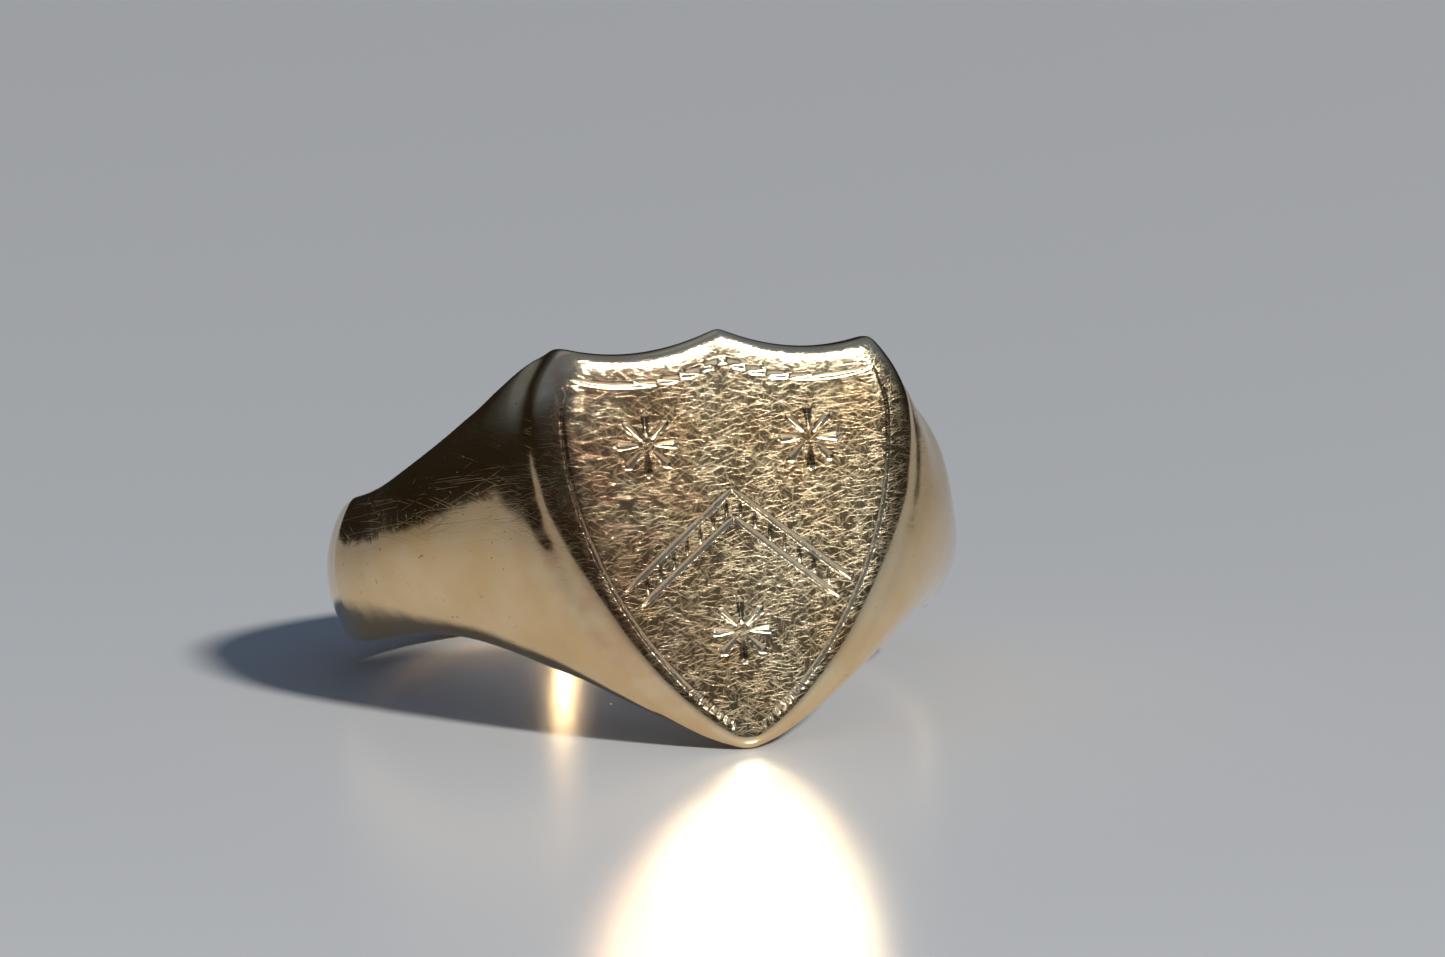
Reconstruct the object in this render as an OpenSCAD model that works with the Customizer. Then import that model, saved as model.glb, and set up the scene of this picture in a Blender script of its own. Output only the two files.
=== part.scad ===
// Signet ring: a shield-shaped seal table on a flared head, two shoulders and a tapering D-section band.
// Units mm. +Z is up. The ring rests on a flat floor on the shield's point and the band's lower back edge.
// The origin is on the floor under the middle of the ring. The seal faces -Y and tips up by the rest angle.
// Inside the ring's own frame, x runs across the finger, u from the bore axis to the table, w along the bore.

/* [Finger] */

// Radius of the finger hole
bore_r = 9; // [7:0.05:11]

// Radius over the band's edges at the two sides
side_r = 9.8; // [8.5:0.05:13]

// Radius over the band's edges at the back
back_r = 9.65; // [8:0.05:12.5]

// How much the band's middle stands over its edges
crown = 0.8; // [0.2:0.05:1.2]

// Half width of the band where it meets a shoulder
band_side_half = 2.4; // [1.2:0.05:3.5]

// Half width of the band at the back
band_back_half = 1.7; // [1:0.05:3]

/* [Seal] */

// Distance from the bore axis to the flat seal table
table_h = 10.95; // [10:0.05:15]

// Half width of the shield where it is widest
shield_half_w = 6.3; // [4:0.05:9]

// Height over the middle plane where the shield is widest
widest_h = 3.5; // [1:0.1:5]

// Half width of the shield at its upper corners
corner_x = 5.25; // [3:0.05:8]

// Height of the upper corners over the middle plane
corner_h = 6.1; // [4:0.05:9]

// Height of the central peak over the middle plane
peak_h = 6.45; // [4:0.05:10]

// How far the top edge dips between the peak and each corner
scallop_dip = 0.5; // [0:0.05:1.2]

// Depth of the shield's point under the middle plane
tip_h = 7.1; // [5:0.05:10]

// Fullness of the shield's lower sides, lower is fuller
side_power = 0.66; // [0.4:0.02:1]

// Width of the worn rounding at the table's edge
round_w = 0.45; // [0.1:0.05:1]

// Depth of the worn rounding at the upper corners
corner_drop = 1.3; // [0.3:0.05:2]

// Depth of the worn rounding at the sides
side_drop = 0.7; // [0.2:0.05:2]

// Depth of the worn rounding at the point
tip_drop = 0.35; // [0.1:0.05:1]

// Depth of the worn rounding at the peak
peak_drop = 0.5; // [0.1:0.05:1]

// Thickness of the engraved plate
plate_t = 1.5; // [1:0.05:1.8]

/* [Shoulders] */

// Bulge of the shoulders at the top, higher is squarer
bulge_top = 1.55; // [1.2:0.05:2.5]

// Bulge of the shoulders at the bottom
bulge_bottom = 1.4; // [1.2:0.05:2.5]

// How fast the shoulders narrow from the head to the band
narrowing = 2.85; // [1.5:0.05:4]

// Distance of the shoulder seams from the middle of the head
head_seam_x = 7.4; // [6.5:0.1:8]

// Thickness of each solder film
solder_t = 0.12; // [0.05:0.01:0.2]

/* [Hidden] */

rows = 12;
levels = 9;
top_points = 10;
round_steps = 3;
tip_half_w = 0.2;
reach = 30;
gold = [0.83, 0.68, 0.38];
solder_gold = [0.86, 0.76, 0.52];

outer_r = (side_r + back_r) / 2;
offset_u = (side_r - back_r) / 2;
sag_r = (band_side_half * band_side_half + crown * crown) / (2 * crown);

function lerp(a, b, s) = a + (b - a) * s;
function band_half(back) = lerp(band_side_half, band_back_half, back / back_r);
function band_edge_r(half) = outer_r + crown - sag_r + sqrt(sag_r * sag_r - half * half);

// The angle at which the shield's point and the band's lower back edge both touch the floor.
tip_u = table_h - tip_drop;
back_u = band_edge_r(band_back_half) - offset_u;
back_w = band_half(back_u);
rest_angle = atan((tip_h - back_w) / (tip_u + back_u));
bore_z = tip_h * cos(rest_angle) - tip_u * sin(rest_angle);
bore_y = 1.03;

// Height of side row i where it leaves the table, and its share of the way from corner to point.
function row_h(i) = lerp(corner_h, -tip_h, (1 - cos(180 * i / rows)) / 2);
function row_share(i) = (corner_h - row_h(i)) / (corner_h + tip_h);

function lower_half_w(h) =
    tip_half_w + (shield_half_w - tip_half_w)
    * pow(max(0, 1 - pow((widest_h - h) / (widest_h + tip_h), 2)), side_power);
function upper_half_w(h) =
    shield_half_w - (shield_half_w - corner_x) * pow((h - widest_h) / (corner_h - widest_h), 2);
function half_w(h) = h < widest_h ? lower_half_w(h) : upper_half_w(h);

function row_drop(i) =
    row_share(i) < 0.5
    ? lerp(corner_drop, side_drop, 2 * row_share(i))
    : lerp(side_drop, tip_drop, 2 * row_share(i) - 1);

// A point of the right side: row i, and v from 1 at the table to 0 at the band.
function side_x(i, v) =
    let (power = lerp(bulge_top, bulge_bottom, row_share(i)), start = half_w(row_h(i)))
    lerp(start, side_r, pow(max(0, 1 - pow(v, power)), 1 / power))
    + crown * 4 * row_share(i) * (1 - row_share(i)) * (1 - v * v);
function side_w(i, v) =
    let (end = lerp(band_side_half, -band_side_half, row_share(i)))
    lerp(end, row_h(i), pow(v, narrowing));
function side_point(i, v) = [side_x(i, v), (table_h - row_drop(i)) * v, side_w(i, v)];

// The scalloped top edge, with s from -1 at the left corner to 1 at the right corner.
function top_edge(s) = lerp(peak_h, corner_h, abs(s)) - scallop_dip * 4 * abs(s) * (1 - abs(s));
function top_point(s, v) =
    [s * side_x(0, v), (table_h - lerp(peak_drop, corner_drop, abs(s))) * v,
     side_w(0, v) + (top_edge(s) - corner_h) * v * v];

function mirrored(p) = [-p[0], p[1], p[2]];

// One closed loop round the head: down the right side, across, up the left side and along the top.
function level_loop(v) = concat(
    [for (i = [0:rows]) side_point(i, v)],
    [for (i = [rows:-1:0]) mirrored(side_point(i, v))],
    [for (k = [1:top_points - 1]) top_point(2 * k / top_points - 1, v)]);

// The loop drawn in towards the middle of the table, and up to it by a share of its drop.
function rounded_loop(loop, share) =
    let (keep = 1 - round_w * (1 - cos(90 * share)) / shield_half_w)
    [for (p = loop) [p[0] * keep, lerp(p[1], table_h, sin(90 * share)), p[2] * keep]];

function flip(p) = [p[0], -p[1], p[2]];

// A closed skin over equal loops. Each end is closed by a fan about a point on the ring's middle line.
module skin(loops) {
    count = len(loops[0]);
    last = len(loops) - 1;
    ends = [[0, loops[0][0][1], 0], [0, loops[last][0][1], 0]];
    points = [for (p = concat([for (loop = loops) each loop], ends)) flip(p)];
    top = count * (last + 1);
    base = top + 1;
    sides = [for (j = [0:last - 1]) for (k = [0:count - 1])
        let (a = j * count + k, b = j * count + (k + 1) % count)
        each [[a, a + count, b], [b, a + count, b + count]]];
    top_fan = [for (k = [0:count - 1]) [top, k, (k + 1) % count]];
    base_fan = [for (k = [0:count - 1]) [base, last * count + (k + 1) % count, last * count + k]];
    polyhedron(points, concat(sides, top_fan, base_fan), convexity = 6);
}

// The front half of the ring before the finger hole: table, head and both shoulders down to u = 0.
module front_body() {
    edge = level_loop(1);
    skin(concat(
        [for (k = [round_steps:-1:1]) rounded_loop(edge, k / round_steps)],
        [for (j = [0:levels]) level_loop(cos(90 * j / levels))]));
}

// The crowned disc that the band is cut from.
module band_disc() {
    translate([0, -offset_u, 0])
        rotate_extrude($fn = 180)
            intersection() {
                translate([outer_r + crown - sag_r, 0])
                    circle(r = sag_r, $fn = 96);
                translate([0, -band_side_half])
                    square([reach, 2 * band_side_half]);
            }
}

// Everything between the band's two edge planes, which close in towards the back.
module band_taper() {
    far = 2 * back_r;
    end_half = band_half(far);
    rotate([0, -90, 0])
        linear_extrude(height = reach, center = true)
            polygon([[-band_side_half, 0], [band_side_half, 0], [end_half, far], [-end_half, far]]);
}

module band_body() {
    intersection() {
        band_disc();
        band_taper();
    }
}

module bore() {
    cylinder(r = bore_r, h = reach, center = true, $fn = 180);
}

// A slab of the ring's own frame: x, u and every w between the limits.
module slab(x_from, x_to, u_from, u_to) {
    translate([x_from, -u_to, -reach / 2])
        cube([x_to - x_from, u_to - u_from, reach]);
}

module at_rest() {
    translate([0, bore_y, bore_z])
        rotate([-rest_angle, 0, 0])
            children();
}

module front_piece(x_from, x_to, u_from, u_to) {
    at_rest()
        difference() {
            intersection() {
                front_body();
                slab(x_from, x_to, u_from, u_to);
            }
            bore();
        }
}

module band_piece(x_from, x_to, u_from, u_to) {
    at_rest()
        difference() {
            intersection() {
                band_body();
                slab(x_from, x_to, u_from, u_to);
            }
            bore();
        }
}

plate_u = table_h - plate_t;
block_u = plate_u - solder_t;
shoulder_x = head_seam_x + solder_t;
gap_half = solder_t / 2;

module seal_plate() {
    color(gold)
        at_rest()
            intersection() {
                front_body();
                slab(-reach, reach, plate_u, reach);
            }
}

module plate_solder() {
    color(solder_gold)
        at_rest()
            intersection() {
                front_body();
                slab(-reach, reach, block_u, plate_u);
            }
}

module head_block() {
    color(gold)
        front_piece(-head_seam_x, head_seam_x, 0, block_u);
}

module left_shoulder() {
    color(gold)
        front_piece(-reach, -shoulder_x, 0, block_u);
}

module right_shoulder() {
    color(gold)
        front_piece(shoulder_x, reach, 0, block_u);
}

module left_shoulder_solder() {
    color(solder_gold)
        front_piece(-shoulder_x, -head_seam_x, 0, block_u);
}

module right_shoulder_solder() {
    color(solder_gold)
        front_piece(head_seam_x, shoulder_x, 0, block_u);
}

module shank_left() {
    color(gold)
        band_piece(-reach, -gap_half, -reach, -solder_t);
}

module shank_right() {
    color(gold)
        band_piece(gap_half, reach, -reach, -solder_t);
}

module left_shank_solder() {
    color(solder_gold)
        band_piece(-reach, 0, -solder_t, 0);
}

module right_shank_solder() {
    color(solder_gold)
        band_piece(0, reach, -solder_t, 0);
}

module sizing_solder() {
    color(solder_gold)
        band_piece(-gap_half, gap_half, -reach, -bore_r / 2);
}

seal_plate();
plate_solder();
head_block();
left_shoulder();
right_shoulder();
left_shoulder_solder();
right_shoulder_solder();
shank_left();
shank_right();
left_shank_solder();
right_shank_solder();
sizing_solder();
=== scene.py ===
import math

import bmesh
import bpy
import numpy as np
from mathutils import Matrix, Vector


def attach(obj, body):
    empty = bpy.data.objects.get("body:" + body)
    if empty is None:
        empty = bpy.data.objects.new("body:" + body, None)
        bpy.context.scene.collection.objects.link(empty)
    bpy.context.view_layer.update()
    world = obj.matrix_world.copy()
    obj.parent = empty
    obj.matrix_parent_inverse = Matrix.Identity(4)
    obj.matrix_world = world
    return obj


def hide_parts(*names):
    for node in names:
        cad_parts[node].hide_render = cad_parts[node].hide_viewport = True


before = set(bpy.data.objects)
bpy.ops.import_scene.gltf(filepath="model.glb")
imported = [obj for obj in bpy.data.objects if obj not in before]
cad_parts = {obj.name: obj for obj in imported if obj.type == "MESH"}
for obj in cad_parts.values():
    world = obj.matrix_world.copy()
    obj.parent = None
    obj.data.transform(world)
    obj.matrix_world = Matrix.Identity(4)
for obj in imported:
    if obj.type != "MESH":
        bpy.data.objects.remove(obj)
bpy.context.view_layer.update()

# The ring's own frame, in mm: x runs across the finger, u from the bore axis to the table, w along the bore.
# Arrays of points hold x, u, w. place() turns them into the row's frame in metres.

MM = 0.001

BORE_R = 9.0
SIDE_R = 9.8
BACK_R = 9.65
CROWN = 0.8
SIDE_HALF = 2.4
BACK_HALF = 1.7

TABLE_H = 10.95
SHIELD_HALF = 6.5
WIDEST_H = 3.5
CORNER_X = 5.25
CORNER_H = 6.1
PEAK_H = 6.45
DIP = 0.5
TIP_H = 7.1
TIP_HALF = 0.2
SIDE_POWER = 0.78
ROUND_W = 0.32
CORNER_DROP = 1.3
TIP_DROP = 0.35
PEAK_DROP = 0.5
PLATE_T = 1.5
# Down each side, from corner to tip: where the flare starts, and how deep, wide and slanted the edge has worn.
EDGE_AT = [0, 0.25, 0.5, 1]
EDGE_START = [CORNER_DROP, 0.7, 0.4, TIP_DROP]
EDGE_WORN = [1.3, 0.75, 0.65, 0.4]
EDGE_WIDE = [0.4, 0.75, 0.75, 0.4]
EDGE_SLANT = [0.15, 0.1, 0.1, 0.1]

BULGE_TOP = 1.55
BULGE_BOTTOM = 1.4
NARROWING = 2.85
SEAM_X = 7.4
FILM = 0.12
# Hand work: near the top the right shoulder is leaner and the left one fuller.
RIGHT_LAG = 0.55
LEFT_FULL = 0.42
# Where each of them is strongest and how far it spreads in u, and where it fades in along w.
RIGHT_LAG_AT, RIGHT_LAG_REACH, RIGHT_LAG_FADE = 8.6, 1.3, (0.5, 4.5)
LEFT_FULL_AT, LEFT_FULL_REACH, LEFT_FULL_FADE = 5.2, 3.0, (-2.8, 0.4)
# The crest of each shoulder sits below its middle, and a slope without a hollow runs up from it to the table.
CREST_LOW = 0.6
SLOPE_FROM = 8.4
SLOPE_TO = 10.7
SLOPE_FADE = (5.0, 3.5)
# Where the flank is smoothed more than the rest: it fades out at the table, in at the foot, and out at the top.
SOFT_TABLE_FADE = (10.5, 10.1)
SOFT_FOOT_FADE = (7.5, 8.5)
SOFT_TOP_FADE = (4.8, 3.3)
# The table rolls off gently inside its edges: depth and how far in it starts, at the top and at the sides.
TOP_ROLL = (0.055, 1.0)
SIDE_ROLL = (0.36, 1.6)
# The roll at the sides runs out between these heights, on the way down to the point.
ROLL_GONE = -2.2
ROLL_FULL = 1.3

OUTER_R = (SIDE_R + BACK_R) / 2
OFFSET_U = (SIDE_R - BACK_R) / 2
SAG_R = (SIDE_HALF ** 2 + CROWN ** 2) / (2 * CROWN)
PLATE_U = TABLE_H - PLATE_T
BLOCK_U = PLATE_U - FILM


def band_half(back):
    return SIDE_HALF + (BACK_HALF - SIDE_HALF) * back / BACK_R


TIP_U = TABLE_H - TIP_DROP
BACK_U = OUTER_R + CROWN - SAG_R + math.sqrt(SAG_R ** 2 - BACK_HALF ** 2) - OFFSET_U
TILT = math.atan((TIP_H - band_half(BACK_U)) / (TIP_U + BACK_U))
BORE_Y = 1.03
# The rounding takes a little off the point, so the form sinks by that much to touch the floor.
SINK = 0.045
BORE_Z = TIP_H * math.cos(TILT) - TIP_U * math.sin(TILT) - SINK


def place(points):
    """Ring frame in mm to the row's frame in metres."""
    x, u, w = points[:, 0], points[:, 1], points[:, 2]
    c, s = math.cos(TILT), math.sin(TILT)
    return np.stack([x, BORE_Y - u * c + w * s, BORE_Z + u * s + w * c], 1) * MM


def unplace(points):
    """The row's frame in metres back to the ring frame in mm."""
    x, y, z = points[:, 0] / MM, points[:, 1] / MM - BORE_Y, points[:, 2] / MM - BORE_Z
    c, s = math.cos(TILT), math.sin(TILT)
    return np.stack([x, -y * c + z * s, y * s + z * c], 1)


def turn(vectors):
    """Directions in the ring frame as directions in the row's frame."""
    x, u, w = vectors[:, 0], vectors[:, 1], vectors[:, 2]
    c, s = math.cos(TILT), math.sin(TILT)
    return np.stack([x, -u * c + w * s, u * s + w * c], 1)


# ---------------------------------------------------------------- the ring's form as a distance field

def mix(a, b, s):
    return a + (b - a) * s


def fade(value, start, end):
    """0 at start and 1 at end, straight between them, and level beyond."""
    return np.clip((value - start) / (end - start), 0, 1)


def half_width(h):
    """Half width of the shield at height h, carried on past both ends."""
    inside = np.clip((WIDEST_H - h) / (WIDEST_H + TIP_H), 0, 1)
    lower = TIP_HALF + (SHIELD_HALF - TIP_HALF) * (1 - inside ** 2) ** SIDE_POWER
    upper = SHIELD_HALF - (SHIELD_HALF - CORNER_X) * ((h - WIDEST_H) / (CORNER_H - WIDEST_H)) ** 2
    past = np.clip(-TIP_H - h, 0, None)
    return np.where(h < WIDEST_H, lower, upper) - 2.0 * past


def edge_loss(u, drop, width=ROUND_W, slant=0.0):
    """How far the worn edge has drawn in at height u."""
    s = np.clip((u - (TABLE_H - drop)) / drop, 0, 1)
    return width * (1 - np.sqrt(np.clip(1 - s * s, 0, 1))) + slant * s


def side_surface(u, w):
    """Half width of the head and shoulders at u, w."""
    slope = 2 * SIDE_HALF / (CORNER_H + TIP_H)
    start_w = SIDE_HALF - slope * CORNER_H
    share = np.full(w.shape, 0.5, np.float32)
    for _ in range(4):
        drop = np.interp(share, EDGE_AT, EDGE_START).astype(np.float32)
        v = np.clip(u / (TABLE_H - drop), 0, 1)
        e = v ** NARROWING
        row = (w - (1 - e) * start_w) / (e + (1 - e) * slope)
        share = np.clip((CORNER_H - row) / (CORNER_H + TIP_H), 0, 1)
    base = half_width(row)
    power = mix(BULGE_TOP, BULGE_BOTTOM, share)
    flare = np.clip(1 - v ** power, 0, 1) ** (1 / power)
    low = share ** (1 + CREST_LOW * np.clip(v / 0.4, 0, 1))
    swell = CROWN * 4 * low * (1 - low) * (1 - v * v)
    worn = np.interp(share, EDGE_AT, EDGE_WORN).astype(np.float32)
    width = np.interp(share, EDGE_AT, EDGE_WIDE).astype(np.float32)
    slant = np.interp(share, EDGE_AT, EDGE_SLANT).astype(np.float32)
    return mix(base, SIDE_R, flare) + swell - edge_loss(u, worn, width, slant)


def end_heights(x, u):
    """Heights of the upper and lower end faces at x, u."""
    v = np.clip(u / (TABLE_H - CORNER_DROP), 0, 1)
    flare = np.clip(1 - v ** BULGE_TOP, 0, 1) ** (1 / BULGE_TOP)
    reach = mix(CORNER_X, SIDE_R, flare)
    s = np.clip(np.abs(x) / reach, 0, 1.2)
    drop = mix(PEAK_DROP, CORNER_DROP, np.clip(s, 0, 1))
    v = np.clip(u / (TABLE_H - drop), 0, 1)
    edge = mix(PEAK_H, CORNER_H, s) - DIP * 4 * s * (1 - s)
    top = mix(SIDE_HALF, CORNER_H, v ** NARROWING) + (edge - CORNER_H) * v * v
    v = np.clip(u / (TABLE_H - TIP_DROP), 0, 1)
    bottom = mix(-SIDE_HALF, -TIP_H, v ** NARROWING)
    return top - edge_loss(u, drop), bottom + edge_loss(u, TIP_DROP)


def table_roll(x, w):
    """How far the worn table has sunk at x, w."""
    s = np.clip(np.abs(x) / CORNER_X, 0, 1.2)
    below_top = mix(PEAK_H, CORNER_H, s) - DIP * 4 * s * (1 - s) - w
    inside = half_width(w) - np.abs(x)
    sunk = TOP_ROLL[0] * np.clip(1 - below_top / TOP_ROLL[1], 0, 1) ** 2
    strength = fade(w, ROLL_GONE, ROLL_FULL)
    return sunk + SIDE_ROLL[0] * strength * np.clip(1 - inside / SIDE_ROLL[1], 0, 1) ** 2


PITCH = 0.1
LOW = np.array([-11.3, -11.0, -7.9])
COUNTS = np.array([227, 226, 152])


def as_distance(f):
    """Scales a field so that its slope is at most 1, which makes it close to a distance."""
    gx, gu, gw = np.gradient(f, PITCH)
    return f / np.maximum(np.sqrt(gx * gx + gu * gu + gw * gw), 1)


def blur(f, reach):
    """Three running means along each axis, which round every edge alike."""
    for axis in range(3):
        for _ in range(3):
            pad = [(0, 0)] * 3
            pad[axis] = (reach + 1, reach)
            total = np.cumsum(np.pad(f, pad, mode="edge"), axis=axis, dtype=np.float64)
            high = np.take(total, range(2 * reach + 1, total.shape[axis]), axis=axis)
            low = np.take(total, range(0, total.shape[axis] - 2 * reach - 1), axis=axis)
            f = ((high - low) / (2 * reach + 1)).astype(np.float32)
    return f


def ring_field():
    axes = [(LOW[k] + PITCH * np.arange(COUNTS[k])).astype(np.float32) for k in range(3)]
    x, u, w = np.meshgrid(*axes, indexing="ij")
    flat_u, flat_w = u[0], w[0]
    side = side_surface(np.clip(flat_u, 0, None), flat_w)
    foot = side_surface(np.full(axes[2].shape, SLOPE_FROM, np.float32), axes[2])
    head = side_surface(np.full(axes[2].shape, SLOPE_TO, np.float32), axes[2])
    climb = (flat_u - SLOPE_FROM) / (SLOPE_TO - SLOPE_FROM)
    filled = np.where((climb > 0) & (climb < 1), np.maximum(side, mix(foot[None], head[None], climb)), side)
    side += (filled - side) * fade(flat_w, *SLOPE_FADE)
    lean = RIGHT_LAG * np.exp(-((flat_u - RIGHT_LAG_AT) / RIGHT_LAG_REACH) ** 2) * fade(flat_w, *RIGHT_LAG_FADE)
    full = LEFT_FULL * np.exp(-((flat_u - LEFT_FULL_AT) / LEFT_FULL_REACH) ** 2) * fade(flat_w, *LEFT_FULL_FADE)
    side_gap = np.where(x > 0, x - (side - lean)[None], -x - (side + full)[None])
    top, bottom = end_heights(x[:, :, 0], np.clip(u[:, :, 0], 0, None))
    front = np.maximum.reduce([as_distance(side_gap), as_distance(w - top[:, :, None]),
                               as_distance(bottom[:, :, None] - w), u - TABLE_H + table_roll(x[:, :1], w[:, :1])])
    crest = OUTER_R + CROWN - SAG_R + np.sqrt(np.clip(SAG_R ** 2 - w * w, 0.2, None))
    round_gap = np.sqrt(x * x + (u - OFFSET_U) ** 2) - crest
    band = np.maximum(as_distance(round_gap), np.abs(w) - band_half(np.clip(-u, 0, None)))
    solid = np.where(u > 0, front, band)
    solid = np.maximum(solid, BORE_R - np.sqrt(x * x + u * u))
    solid = solid.astype(np.float32)
    crisp, soft = blur(solid, 1), blur(solid, 3)
    share = fade(u, *SOFT_TABLE_FADE) * fade(u, *SOFT_FOOT_FADE) * fade(w, *SOFT_TOP_FADE)
    return crisp + (soft - crisp) * share


FIELD = ring_field()
SLOPES = [g.astype(np.float32) for g in np.gradient(FIELD, PITCH)]


def sample(grid, points):
    """The grid's value at each point, by trilinear weights."""
    q = (points - LOW) / PITCH
    q = np.clip(q, 0, COUNTS - 1.001)
    i = q.astype(int)
    t = q - i
    out = np.zeros(len(points))
    for a in (0, 1):
        for b in (0, 1):
            for c in (0, 1):
                weight = (np.abs(1 - a - t[:, 0]) * np.abs(1 - b - t[:, 1]) * np.abs(1 - c - t[:, 2]))
                out += weight * grid[i[:, 0] + a, i[:, 1] + b, i[:, 2] + c]
    return out


def slope_at(points):
    return np.stack([sample(g, points) for g in SLOPES], 1)


def unit(v):
    return v / np.maximum(np.linalg.norm(v, axis=1, keepdims=True), 1e-9)


def settle(points, steps=4):
    """Moves points onto the surface."""
    for _ in range(steps):
        g = slope_at(points)
        f = sample(FIELD, points)
        points = points - g * (f / np.maximum((g * g).sum(1), 0.05))[:, None]
    return points


def surface_net():
    """Quads round every place where the field changes sign."""
    inside = FIELD < 0
    total = np.zeros(COUNTS - 1, np.int8)
    for a in (0, 1):
        for b in (0, 1):
            for c in (0, 1):
                total += inside[a:a + COUNTS[0] - 1, b:b + COUNTS[1] - 1, c:c + COUNTS[2] - 1]
    cells = np.argwhere((total > 0) & (total < 8))
    number = np.full(COUNTS - 1, -1, np.int32)
    number[tuple(cells.T)] = np.arange(len(cells))
    sums = np.zeros((len(cells), 3))
    hits = np.zeros(len(cells))
    corners = [np.array(c) for c in np.ndindex(2, 2, 2)]
    for a in corners:
        for axis in range(3):
            if a[axis]:
                continue
            b = a.copy()
            b[axis] = 1
            fa = FIELD[tuple((cells + a).T)]
            fb = FIELD[tuple((cells + b).T)]
            crossed = (fa < 0) != (fb < 0)
            t = np.where(crossed, fa / np.where(crossed, fa - fb, 1), 0)
            sums += np.where(crossed[:, None], a + t[:, None] * (b - a), 0)
            hits += crossed
    points = LOW + PITCH * (cells + sums / hits[:, None])
    quads = []
    for axis in range(3):
        ahead = np.zeros(3, int)
        ahead[axis] = 1
        lo = inside[tuple(slice(0, n - d) for n, d in zip(COUNTS, ahead))]
        hi = inside[tuple(slice(d, n) for n, d in zip(COUNTS, ahead))]
        p, q = (axis + 1) % 3, (axis + 2) % 3
        for change, order in ((lo & ~hi, (0, 1, 2, 3)), (~lo & hi, (3, 2, 1, 0))):
            at = np.argwhere(change)
            ring = []
            for dp, dq in ((-1, -1), (0, -1), (0, 0), (-1, 0)):
                step = np.zeros(3, int)
                step[p], step[q] = dp, dq
                ring.append(number[tuple((at + step).T)])
            quads.append(np.stack([ring[k] for k in order], 1))
    return settle(points, 3), np.concatenate(quads)


# ---------------------------------------------------------------- cutting the form into its pieces

RING_POINTS, RING_QUADS = surface_net()


def ring_mesh():
    """The whole form. The ring frame is a mirror image of the row's, so each quad is wound the other way."""
    mesh = bpy.data.meshes.new("ring_form")
    mesh.from_pydata(place(RING_POINTS).tolist(), [], RING_QUADS[:, ::-1].tolist())
    return mesh


RING_FORM = ring_mesh()


def cut(bm, point, normal):
    """Keeps what lies behind the plane and closes the cut."""
    at = Vector(place(np.array([point], float))[0])
    out = Vector(turn(np.array([normal], float))[0])
    every = bm.verts[:] + bm.edges[:] + bm.faces[:]
    bmesh.ops.bisect_plane(bm, geom=every, dist=1e-9, plane_co=at, plane_no=out, clear_outer=True)
    rim = [e for e in bm.edges if e.is_boundary]
    for f in bmesh.ops.holes_fill(bm, edges=rim, sides=0)["faces"]:
        f.material_index = 1


def read(items, name, width, kind=float):
    out = np.empty(len(items) * width, kind)
    items.foreach_get(name, out)
    return out.reshape(-1, width) if width > 1 else out


def add_piece(name, mesh, normals, material, nodes):
    """Puts a finished mesh in the scene with its own corner normals, riding on the ring's one body."""
    mesh.materials.clear()
    mesh.materials.append(material)
    mesh.polygons.foreach_set("use_smooth", np.ones(len(mesh.polygons), bool))
    mesh.normals_split_custom_set(normals.tolist())
    o = bpy.data.objects.new(name, mesh)
    bpy.context.scene.collection.objects.link(o)
    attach(o, "root")
    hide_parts(*nodes)
    return o


def cut_piece(name, planes, material, node):
    """A piece of the ring between planes, each a point and an outward normal in the ring frame."""
    bm = bmesh.new()
    bm.from_mesh(RING_FORM)
    for point, normal in planes:
        cut(bm, point, normal)
    mesh = bpy.data.meshes.new(name)
    bm.normal_update()
    bm.to_mesh(mesh)
    bm.free()
    flat = read(mesh.polygons, "normal", 3)
    capped = read(mesh.polygons, "material_index", 1, np.int32)
    sizes = read(mesh.polygons, "loop_total", 1, np.int32)
    corner = read(mesh.loops, "vertex_index", 1, np.int32)
    owner = np.repeat(np.arange(len(sizes)), sizes)
    soft = turn(unit(slope_at(unplace(read(mesh.vertices, "co", 3)))))
    normals = np.where(capped[owner][:, None] > 0, flat[owner], soft[corner])
    mesh.polygons.foreach_set("material_index", np.zeros(len(sizes), np.int32))
    return add_piece(name, mesh, normals, material, [node])


# ---------------------------------------------------------------- the engraved table

def curve(points, per_span=7):
    """A smooth line through given points."""
    p = np.array(points, float)
    p = np.vstack([2 * p[0] - p[1], p, 2 * p[-1] - p[-2]])
    out = []
    for a, b, c, d in zip(p[:-3], p[1:-2], p[2:-1], p[3:]):
        for t in np.arange(per_span) / per_span:
            out.append(0.5 * (2 * b + (c - a) * t + (2 * a - 5 * b + 4 * c - d) * t * t
                              + (3 * b - a - 3 * c + d) * t ** 3))
    out.append(p[-2])
    return np.array(out)


# The engraving is a plain geometric design: a chevron between three rosettes, inside a border line.
BORDER_IN = 1.1
BORDER_WIDTH = 0.18
BORDER_CORNER_H = 4.93
BORDER_TIP_H = -6.4
CHEVRON_TOP = 1.2
CHEVRON_BAND = 0.9
CHEVRON_HALF = 3.7
CHEVRON_FALL = 0.82
CHEVRON_WIDTH = 0.2
HATCHES = 7
HATCH_WIDTH = 0.12
# A hatch starts and ends this share of the band's width in from its two strokes.
HATCH_IN = 0.2
ROSETTES = [(-2.7, 2.75), (2.7, 2.75), (0, -3.3)]
PETALS = 8
PETAL_REACH = 1.0
PETAL_WIDTH = 0.3


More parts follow.
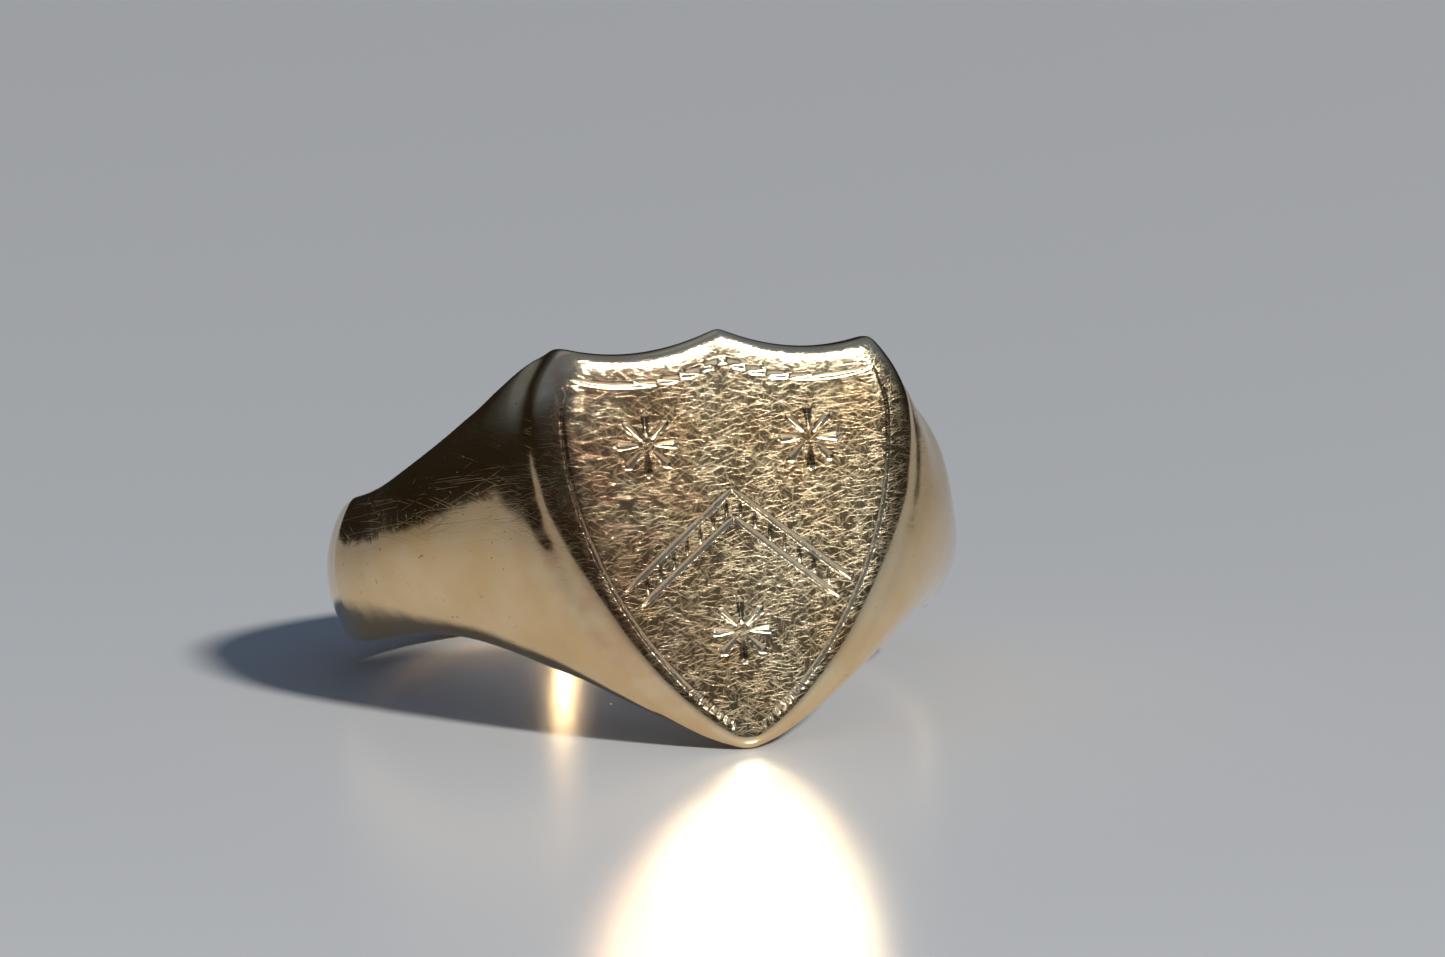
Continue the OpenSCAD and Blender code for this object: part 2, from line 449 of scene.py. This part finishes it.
def border_cuts():
    """A line that keeps its distance from the shield's edge."""
    cuts = []
    for side in (-1, 1):
        heights = np.linspace(BORDER_CORNER_H, BORDER_TIP_H, 12)
        flank = [(side * (float(half_width(h)) - BORDER_IN), h) for h in heights]
        corner = (float(half_width(BORDER_CORNER_H)) - BORDER_IN) / CORNER_X
        top = [(side * CORNER_X * s, mix(PEAK_H, CORNER_H, s) - DIP * 4 * s * (1 - s) - BORDER_IN)
               for s in np.linspace(0, corner, 6)]
        cuts += [(BORDER_WIDTH, "even", flank), (BORDER_WIDTH, "even", top)]
    return cuts


def chevron_cuts():
    """Two parallel strokes down each side of the middle, hatched between them."""
    cuts = []
    for side in (-1, 1):
        for top, half in ((CHEVRON_TOP, CHEVRON_HALF),
                          (CHEVRON_TOP - CHEVRON_BAND, CHEVRON_HALF - CHEVRON_BAND / 2)):
            cuts.append((CHEVRON_WIDTH, "even", [(0, top), (side * half, top - CHEVRON_FALL * half)]))
        for k in range(HATCHES):
            x = CHEVRON_HALF * (k + 0.5) / (HATCHES + 1)
            high = CHEVRON_TOP - CHEVRON_FALL * x
            ends = [(side * x, high - part * CHEVRON_BAND) for part in (HATCH_IN, 1 - HATCH_IN)]
            cuts.append((HATCH_WIDTH, "swell", ends))
    return cuts


def rosette_cuts():
    """Petals that run out from each centre."""
    cuts = []
    for x, w in ROSETTES:
        for k in range(PETALS):
            angle = 2 * math.pi * k / PETALS
            out = np.array([math.cos(angle), math.sin(angle)])
            cuts.append((PETAL_WIDTH, "wedge", [(x, w) + out * PETAL_REACH, (x, w) + out * PETAL_REACH / 4]))
    return cuts


# Each cut of the graver: width, how it tapers, and the points it runs through as (x, w) in mm.
# "swell" is thin at both ends, "wedge" starts wide and runs out, "even" keeps its width.
CUTS = border_cuts() + chevron_cuts() + rosette_cuts()


def cut_width(kind, t):
    if kind == "swell":
        return np.sin(np.pi * np.clip(t, 0.02, 0.98)) ** 0.6
    if kind == "wedge":
        return np.minimum(1, 6 * (t + 0.06)) * (1 - t) ** 0.6 + 0.05
    return np.minimum(1, np.minimum(8 * t, 8 * (1 - t)) + 0.35)


def along(points, line, reach):
    """For points near a line: their indices, distance from it, and how far along it they are from 0 to 1."""
    low, high = line.min(0) - reach, line.max(0) + reach
    near = np.nonzero(((points > low) & (points < high)).all(1))[0]
    p = points[near]
    best = np.full(len(near), 1e9)
    place_on = np.zeros(len(near))
    lengths = np.linalg.norm(np.diff(line, axis=0), axis=1)
    starts = np.concatenate([[0], np.cumsum(lengths)])
    for k, (a, b) in enumerate(zip(line[:-1], line[1:])):
        d = b - a
        t = np.clip(((p - a) @ d) / max(d @ d, 1e-12), 0, 1)
        gap = np.linalg.norm(p - a - t[:, None] * d, axis=1)
        closer = gap < best
        best = np.where(closer, gap, best)
        place_on = np.where(closer, (starts[k] + t * lengths[k]) / starts[-1], place_on)
    return near, best, place_on


def engraved_depth(points):
    """How deep the table is cut at each (x, w)."""
    deep = np.zeros(len(points))
    for width, kind, line in CUTS:
        near, gap, t = along(points, curve(line), width)
        half = 0.5 * width * cut_width(kind, t)
        groove = 0.5 * half * np.clip(1 - gap / np.maximum(half, 1e-6), 0, 1) ** 1.15
        deep[near] = np.maximum(deep[near], groove)
    return deep


TURNS = 1200
TABLE_RINGS = 150
WALL_RINGS = 44
PLATE_MID = 0.3
TABLE_SHARE = 0.88
# How far a surface faces along u where the engraving fades in, and where the scuffing does.
CUT_FADE = (0.86, 0.94)
SCUFF_FADE = (0.55, 0.95)
# The step over which the engraving's slope is taken, and the depth from which a cut's colour is fully darkened.
PROBE = 0.012
DARKEST_DEPTH = 0.06


def ray_hit(direction):
    """Where rays from the plate's middle leave the ring's surface."""
    start = np.array([0.0, PLATE_U, PLATE_MID])
    near = np.zeros(len(direction))
    far = np.full(len(direction), 9.5)
    for _ in range(20):
        mid = (near + far) / 2
        out = sample(FIELD, start + direction * mid[:, None]) > 0
        far = np.where(out, mid, far)
        near = np.where(out, near, mid)
    return start + direction * ((near + far) / 2)[:, None]


def plate_piece(name, material, node):
    """The seal plate, on a round grid that is fine enough to hold the engraving."""
    turn_at = 2 * np.pi * np.arange(TURNS) / TURNS
    flat = np.stack([np.cos(turn_at), np.zeros(TURNS), np.sin(turn_at)], 1)
    rim = np.linalg.norm((ray_hit(flat) - [0, PLATE_U, PLATE_MID]), axis=1)
    shares = TABLE_SHARE * np.arange(1, TABLE_RINGS + 1) / TABLE_RINGS
    lean = np.arctan2(shares[:, None] * rim[None], PLATE_T)
    rest = np.linspace(0, 1, WALL_RINGS + 1)[1:, None]
    lean = np.vstack([lean, mix(lean[-1][None], np.pi / 2, rest)])
    rows = len(lean)
    direction = np.stack([np.sin(lean) * np.cos(turn_at), np.cos(lean), np.sin(lean) * np.sin(turn_at)], -1)
    points = ray_hit(direction.reshape(-1, 3))
    points = np.vstack([[0, TABLE_H, PLATE_MID], points, [0, PLATE_U, PLATE_MID]])
    base = unit(slope_at(points))
    base[0] = base[-1] = (0, 1, 0)
    flatness = fade(base[:, 1], *CUT_FADE)
    spot = points[:, [0, 2]]
    depth = engraved_depth(spot)
    rise = [(engraved_depth(spot + d) - engraved_depth(spot - d)) / (2 * PROBE)
            for d in (np.array([PROBE, 0]), np.array([0, PROBE]))]
    points[:, 1] -= depth * flatness
    tilt = np.stack([rise[0] * flatness, np.zeros(len(base)), rise[1] * flatness], 1)
    soft = turn(unit(base + tilt * np.clip(base[:, 1:2], 0, 1)))
    quads = []
    k = np.arange(TURNS)
    after = (k + 1) % TURNS
    for r in range(rows - 1):
        a, b = 1 + r * TURNS, 1 + (r + 1) * TURNS
        quads.append(np.stack([a + k, b + k, b + after, a + after], 1))
    faces = np.concatenate(quads).tolist()
    faces += np.stack([np.zeros(TURNS, int), 1 + k, 1 + after], 1).tolist()
    last = 1 + (rows - 1) * TURNS
    middle = len(points) - 1
    under = np.stack([np.full(TURNS, middle), last + after, last + k], 1).tolist()
    mesh = bpy.data.meshes.new(name)
    mesh.from_pydata(place(points).tolist(), [], faces + under)
    mesh.update()
    scuffed = fade(base[:, 1], *SCUFF_FADE)
    for key, value in (("groove", np.clip(depth / DARKEST_DEPTH, 0, 1) * flatness), ("table", scuffed)):
        shade = mesh.attributes.new(key, "FLOAT", "POINT")
        shade.data.foreach_set("value", value.astype(np.float32))
    sizes = read(mesh.polygons, "loop_total", 1, np.int32)
    corner = read(mesh.loops, "vertex_index", 1, np.int32)
    capped = np.zeros(len(sizes), bool)
    capped[-TURNS:] = True
    owner = np.repeat(np.arange(len(sizes)), sizes)
    down = turn(np.array([[0, -1.0, 0]]))
    normals = np.where(capped[owner][:, None], down, soft[corner])
    return add_piece(name, mesh, normals, material, [node])


# ---------------------------------------------------------------- materials

class Graph:
    """Short calls for building a material's nodes."""

    def __init__(self, name):
        self.material = bpy.data.materials.new(name)
        self.material.use_nodes = True
        self.tree = self.material.node_tree
        self.tree.nodes.clear()
        self.shader = self.node("ShaderNodeBsdfPrincipled")
        out = self.node("ShaderNodeOutputMaterial")
        self.link(self.shader.outputs[0], out.inputs["Surface"])

    def node(self, kind, **settings):
        n = self.tree.nodes.new(kind)
        for key, value in settings.items():
            setattr(n, key, value)
        return n

    def link(self, a, b):
        self.tree.links.new(a, b)

    def feed(self, socket, value):
        if isinstance(value, bpy.types.NodeSocket):
            self.link(value, socket)
        else:
            socket.default_value = value

    def math(self, operation, a, b=0.0, c=None, clamp=False):
        n = self.node("ShaderNodeMath", operation=operation, use_clamp=clamp)
        self.feed(n.inputs[0], a)
        self.feed(n.inputs[1], b)
        if c is not None:
            self.feed(n.inputs[2], c)
        return n.outputs[0]

    def stretch(self, vector, scale):
        n = self.node("ShaderNodeVectorMath", operation="MULTIPLY")
        self.link(vector, n.inputs[0])
        n.inputs[1].default_value = scale
        return n.outputs[0]

    def ring_space(self):
        """Coordinates in mm with the table's plane level with X and Z."""
        at = self.node("ShaderNodeTexCoord")
        n = self.node("ShaderNodeMapping")
        self.link(at.outputs["Object"], n.inputs["Vector"])
        n.inputs["Rotation"].default_value = (TILT, 0, 0)
        n.inputs["Scale"].default_value = (1000, 1000, 1000)
        return n.outputs[0]

    def turned(self, vector, degrees, axis=1):
        n = self.node("ShaderNodeMapping")
        self.link(vector, n.inputs["Vector"])
        angles = [0, 0, 0]
        angles[axis] = math.radians(degrees)
        n.inputs["Rotation"].default_value = angles
        return n.outputs[0]

    def noise(self, vector, scale, detail=2.0, rough=0.5, warp=0.0):
        n = self.node("ShaderNodeTexNoise")
        self.link(vector, n.inputs["Vector"])
        n.inputs["Scale"].default_value = scale
        n.inputs["Detail"].default_value = detail
        n.inputs["Roughness"].default_value = rough
        n.inputs["Distortion"].default_value = warp
        return n.outputs[0]

    def ramp(self, value, low, high, a=0.0, b=1.0):
        n = self.node("ShaderNodeMapRange")
        self.link(value, n.inputs["Value"])
        for key, number in (("From Min", low), ("From Max", high), ("To Min", a), ("To Max", b)):
            n.inputs[key].default_value = number
        return n.outputs[0]

    def blend(self, share, a, b):
        n = self.node("ShaderNodeMix", data_type="RGBA")
        self.feed(n.inputs[0], share)
        self.feed(n.inputs[6], a)
        self.feed(n.inputs[7], b)
        return n.outputs[2]

    def bump(self, height, strength, distance, normal=None):
        n = self.node("ShaderNodeBump")
        n.inputs["Strength"].default_value = strength
        n.inputs["Distance"].default_value = distance
        self.link(height, n.inputs["Height"])
        if normal is not None:
            self.link(normal, n.inputs["Normal"])
        return n.outputs[0]


GOLD = (0.76, 0.52, 0.26, 1)
# Reddish brown painted on the table's left as a reflection of brownish surroundings.
PAINTED_REFLECTION_RED = (0.72, 0.44, 0.27, 1)
PALE_GOLD = (0.8, 0.58, 0.33, 1)
SILVERY_GOLD = (0.86, 0.72, 0.48, 1)
DARK_BROWN = (0.1, 0.065, 0.035, 1)
POLISH = 0.1
MICROMETRE = 0.000001


def scratches(g, space, layers):
    """Fine straight lines as one value from 0 to 1. Each layer is angle, length, width and how few there are."""
    total = None
    for k, (angle, length, width, few) in enumerate(layers):
        line = g.stretch(g.turned(space, angle), (1 / length, 0.2, 1 / width))
        shifted = g.node("ShaderNodeVectorMath", operation="ADD")
        g.link(line, shifted.inputs[0])
        shifted.inputs[1].default_value = (3.7 * k, 1.9 * k, 5.3 * k)
        thin = g.ramp(g.noise(shifted.outputs[0], 1.0, 0.0), few, few + 0.05)
        total = thin if total is None else g.math("MAXIMUM", total, thin)
    return total


def body_look(g, space, tone_a, tone_b):
    """Colour and relief of the polished gold, in micrometres."""
    tone = g.blend(g.ramp(g.noise(space, 0.5, 2.0), 0.4, 0.65), tone_a, tone_b)
    lines = scratches(g, space, ((0, 1.6, 0.04, 0.7), (35, 1.2, 0.04, 0.71), (-40, 1.4, 0.04, 0.71),
                                 (85, 1.2, 0.04, 0.7)))
    dents = g.math("MULTIPLY_ADD", g.noise(space, 0.8, 1.0), 16.0, g.math("MULTIPLY", g.noise(space, 2.6, 1.0), 3.0))
    nicks = g.ramp(g.noise(space, 4.0, 2.0, 0.6), 0.7, 0.74)
    tone = g.blend(g.math("MULTIPLY", nicks, 0.5), tone, DARK_BROWN)
    relief = g.math("MULTIPLY_ADD", g.noise(space, 30.0, 2.0), 0.4, dents)
    relief = g.math("SUBTRACT", relief, g.math("MULTIPLY", lines, 0.8))
    return tone, g.math("SUBTRACT", relief, g.math("MULTIPLY", nicks, 4.0))


def face_gold():
    """Matte and scratched where the "table" attribute is 1, polished like the body where it is 0."""
    g = Graph("worn_gold_face")
    space = g.ring_space()
    plain, smooth = body_look(g, space, GOLD, PALE_GOLD)
    groove = g.node("ShaderNodeAttribute", attribute_name="groove").outputs["Fac"]
    table = g.node("ShaderNodeAttribute", attribute_name="table").outputs["Fac"]
    parts = g.node("ShaderNodeSeparateXYZ")
    g.link(space, parts.inputs[0])
    leftward = g.ramp(parts.outputs["X"], 0.5, -4.5)
    # Painted reflection: patches towards the left of the table are tinted reddish brown, standing in for a brownish
    # surrounding that the face reflects there.
    painted_red_reflection = g.math("MULTIPLY", leftward, g.ramp(g.noise(space, 1.2, 3.0), 0.35, 0.6), clamp=True)
    tone = g.blend(g.ramp(g.noise(space, 0.35, 2.0), 0.35, 0.6), PALE_GOLD, SILVERY_GOLD)
    tone = g.blend(g.math("MULTIPLY", painted_red_reflection, 0.85), tone, PAINTED_REFLECTION_RED)
    # The colour darkens towards dark brown in the engraved cuts, the more so the deeper they are.
    tone = g.blend(g.math("MULTIPLY", groove, 0.4, clamp=True), tone, DARK_BROWN)
    level = scratches(g, space, ((4, 0.7, 0.03, 0.7), (-12, 0.5, 0.028, 0.71), (20, 0.5, 0.028, 0.71)))
    rising = scratches(g, space, ((-33, 0.9, 0.03, 0.7), (-52, 0.45, 0.028, 0.72), (40, 0.5, 0.028, 0.72)))
    steep = scratches(g, space, ((82, 0.8, 0.03, 0.71), (64, 0.45, 0.028, 0.73), (-72, 0.5, 0.028, 0.73)))
    grain = g.noise(space, 30.0, 2.0, 0.7)
    lines = g.math("MAXIMUM", g.math("MAXIMUM", level, g.math("MULTIPLY", rising, 0.9)),
                   g.math("MULTIPLY", steep, 0.8))
    rubbed = g.math("MULTIPLY_ADD", grain, 0.7, g.noise(space, 1.5, 2.0))
    rubbed = g.math("SUBTRACT", rubbed, g.math("MULTIPLY", lines, 0.6))
    relief = g.math("MULTIPLY_ADD", g.math("SUBTRACT", rubbed, smooth), table, smooth)
    g.link(g.blend(table, plain, tone), g.shader.inputs["Base Color"])
    g.link(g.bump(relief, 1.0, MICROMETRE), g.shader.inputs["Normal"])
    worn = g.math("MULTIPLY_ADD", lines, 0.13, g.ramp(grain, 0.45, 0.75, 0.0, 0.08))
    worn = g.math("MULTIPLY", worn, g.ramp(leftward, 0.0, 1.0, 1.0, 0.6))
    g.link(g.math("MULTIPLY_ADD", table, worn, POLISH), g.shader.inputs["Roughness"])
    g.shader.inputs["Metallic"].default_value = 1.0
    return g.material


def body_gold(name, tone_a, tone_b):
    g = Graph(name)
    tone, relief = body_look(g, g.ring_space(), tone_a, tone_b)
    g.link(tone, g.shader.inputs["Base Color"])
    g.link(g.bump(relief, 1.0, MICROMETRE), g.shader.inputs["Normal"])
    g.shader.inputs["Roughness"].default_value = POLISH
    g.shader.inputs["Metallic"].default_value = 1.0
    return g.material


FACE = face_gold()
BODY = body_gold("polished_gold", GOLD, PALE_GOLD)
SOLDER = body_gold("gold_solder", GOLD, PALE_GOLD)

LEFT, RIGHT = (-1, 0, 0), (1, 0, 0)
UP, DOWN = (0, 1, 0), (0, -1, 0)
HALF_FILM = FILM / 2
SHOULDER_X = SEAM_X + FILM

plate_piece("engraved_seal_plate", FACE, "seal_plate")
cut_piece("plate_solder_film", [((0, PLATE_U, 0), UP), ((0, BLOCK_U, 0), DOWN)], SOLDER, "plate_solder")
cut_piece("flared_head_block", [((0, BLOCK_U, 0), UP), ((0, 0, 0), DOWN), ((SEAM_X, 0, 0), RIGHT),
                                ((-SEAM_X, 0, 0), LEFT)], BODY, "head_block")
for side, sign, outward, inward in (("left", -1, LEFT, RIGHT), ("right", 1, RIGHT, LEFT)):
    cut_piece(side + "_shoulder_form", [((0, BLOCK_U, 0), UP), ((0, 0, 0), DOWN),
                                        ((sign * SHOULDER_X, 0, 0), inward)], BODY, side + "_shoulder")
    cut_piece(side + "_shoulder_solder_film", [((0, BLOCK_U, 0), UP), ((0, 0, 0), DOWN),
                                               ((sign * SHOULDER_X, 0, 0), outward),
                                               ((sign * SEAM_X, 0, 0), inward)], SOLDER, side + "_shoulder_solder")
    cut_piece(side + "_shank_solder_film", [((0, 0, 0), UP), ((0, -FILM, 0), DOWN), ((0, 0, 0), inward)],
              SOLDER, side + "_shank_solder")
    cut_piece(side + "_band_half", [((0, -FILM, 0), UP), ((sign * HALF_FILM, 0, 0), inward)],
              BODY, "shank_" + side)
cut_piece("sizing_solder_film", [((0, -BORE_R / 2, 0), UP), ((HALF_FILM, 0, 0), RIGHT),
                                 ((-HALF_FILM, 0, 0), LEFT)], SOLDER, "sizing_solder")

# ---------------------------------------------------------------- floor, light and camera

VIEW_SIDE = math.radians(16.84)
VIEW_UP = math.radians(10.12)


def floor_material():
    g = Graph("pale_floor")
    at = g.node("ShaderNodeTexCoord")
    reach = g.node("ShaderNodeVectorMath", operation="LENGTH")
    g.link(at.outputs["Object"], reach.inputs[0])
    # Painted shade and light: the floor is coloured darker near the ring and paler further away, a tone the lamps do
    # not give it.
    far = g.ramp(reach.outputs["Value"], 0.03, 0.35)
    g.link(g.blend(far, (0.6, 0.615, 0.63, 1), (0.8, 0.81, 0.82, 1)), g.shader.inputs["Base Color"])
    g.shader.inputs["Roughness"].default_value = 0.22
    g.shader.inputs["Specular IOR Level"].default_value = 0.4
    return g.material


def stage_floor():
    bpy.ops.mesh.primitive_plane_add(size=6.0, location=(0, 0, 0))
    floor = bpy.context.object
    floor.name = "floor"
    floor.data.materials.append(floor_material())


def area(name, direction, distance, size, power, tint):
    """A soft lamp that looks at the ring from a direction."""
    lamp = bpy.data.lights.new(name, "AREA")
    lamp.shape = "DISK"
    lamp.size = size
    lamp.energy = power
    lamp.color = tint
    o = bpy.data.objects.new(name, lamp)
    d = Vector(direction).normalized()
    o.location = d * distance + Vector((0, 0, 0.006))
    o.rotation_euler = d.to_track_quat("Z", "Y").to_euler()
    bpy.context.scene.collection.objects.link(o)


def sky():
    """Pale above, dark near the horizon as gold outdoors shows it, and plain pale grey behind the ring."""
    world = bpy.data.worlds.new("studio")
    bpy.context.scene.world = world
    world.use_nodes = True
    tree = world.node_tree
    tree.nodes.clear()
    at = tree.nodes.new("ShaderNodeTexCoord")
    split = tree.nodes.new("ShaderNodeSeparateXYZ")
    tree.links.new(at.outputs["Generated"], split.inputs[0])
    ramp = tree.nodes.new("ShaderNodeValToRGB")
    tree.links.new(split.outputs["Z"], ramp.inputs[0])
    stops = ramp.color_ramp.elements
    stops[0].position, stops[0].color = 0.0, (0.05, 0.045, 0.035, 1)
    stops[1].position, stops[1].color = 1.0, (0.5, 0.68, 1.0, 1)
    for where, tint in ((0.3, (0.06, 0.055, 0.045, 1)), (0.46, (0.18, 0.24, 0.34, 1)), (0.6, (0.4, 0.54, 0.8, 1))):
        stop = stops.new(where)
        stop.color = tint
    light = tree.nodes.new("ShaderNodeBackground")
    tree.links.new(ramp.outputs[0], light.inputs["Color"])
    light.inputs["Strength"].default_value = 0.32
    back = tree.nodes.new("ShaderNodeBackground")
    back.inputs["Color"].default_value = (0.44, 0.455, 0.47, 1)
    path = tree.nodes.new("ShaderNodeLightPath")
    mixer = tree.nodes.new("ShaderNodeMixShader")
    tree.links.new(path.outputs["Is Camera Ray"], mixer.inputs[0])
    tree.links.new(light.outputs[0], mixer.inputs[1])
    tree.links.new(back.outputs[0], mixer.inputs[2])
    out = tree.nodes.new("ShaderNodeOutputWorld")
    tree.links.new(mixer.outputs[0], out.inputs["Surface"])


def set_camera():
    data = bpy.data.cameras.new("camera")
    data.sensor_width = 36.0
    data.lens = 164.3
    data.clip_start = 0.01
    data.clip_end = 20.0
    o = bpy.data.objects.new("camera", data)
    back = Vector((-math.sin(VIEW_SIDE) * math.cos(VIEW_UP), -math.cos(VIEW_SIDE) * math.cos(VIEW_UP),
                   math.sin(VIEW_UP)))
    right = Vector((math.cos(VIEW_SIDE), -math.sin(VIEW_SIDE), 0))
    up = back.cross(right)
    target = Vector((0, BORE_Y, BORE_Z)) + right * 2.685 + up * 2.492
    o.location = (target + back * 220) * MM
    o.rotation_euler = back.to_track_quat("Z", "Y").to_euler()
    bpy.context.scene.collection.objects.link(o)
    bpy.context.scene.camera = o


stage_floor()
sky()
area("sun_side", (0.325, -0.73, 0.602), 3.0, 0.4, 112.0, (1.0, 0.96, 0.9))
area("overhead", (-0.2, 0.35, 1.0), 0.7, 0.6, 0.1, (0.86, 0.92, 1.0))
set_camera()

view = bpy.context.scene.view_settings
view.view_transform = "Standard"
view.look = "None"
view.exposure = 0.0

bpy.data.meshes.remove(RING_FORM)
